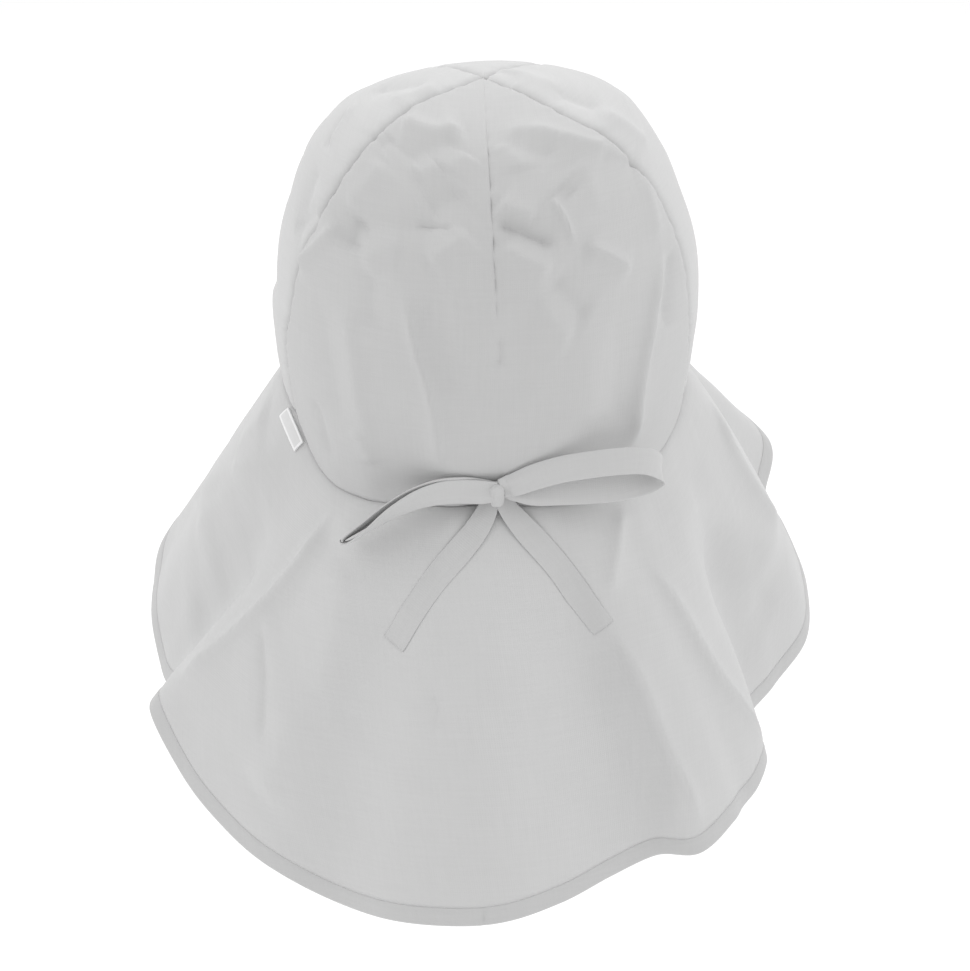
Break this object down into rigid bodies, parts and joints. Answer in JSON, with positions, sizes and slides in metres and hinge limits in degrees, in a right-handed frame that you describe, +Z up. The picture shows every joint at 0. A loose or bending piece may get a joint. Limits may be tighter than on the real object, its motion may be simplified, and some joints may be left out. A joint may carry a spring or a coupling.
{
  "type": "flap sun hat",
  "caption": "Child's soft cotton sun hat with a gored crown, a short peak, a wide draped neck flap and a bow tied at the nape.",
  "frame": {"origin": "the inside of the crown's top, where the head carries the hat", "axes": "+Z up through the crown, -Y towards the peak, +Y towards the nape and the bow, +X towards the wearer's left"},
  "size_m": [0.2594, 0.2564, 0.2931],
  "materials": {
    "cotton": "fine plain cotton weave, pale grey",
    "hem_cotton": "the same cotton, doubled and stitched",
    "tie_cotton": "the same cotton, sewn as a flat strap",
    "woven_label": "white woven tape"
  },
  "bodies": {
    "root": {"crown_back": "cotton", "crown_left": "cotton", "crown_right": "cotton", "crown_front": "cotton", "flap": "cotton", "peak": "cotton", "hem_band": "hem_cotton", "tie_knot": "tie_cotton", "tie_loop_right": "tie_cotton", "tie_loop_left": "tie_cotton", "tie_tail_right": "tie_cotton", "tie_tail_left": "tie_cotton", "label": "woven_label"}
  },
  "joints": []
}
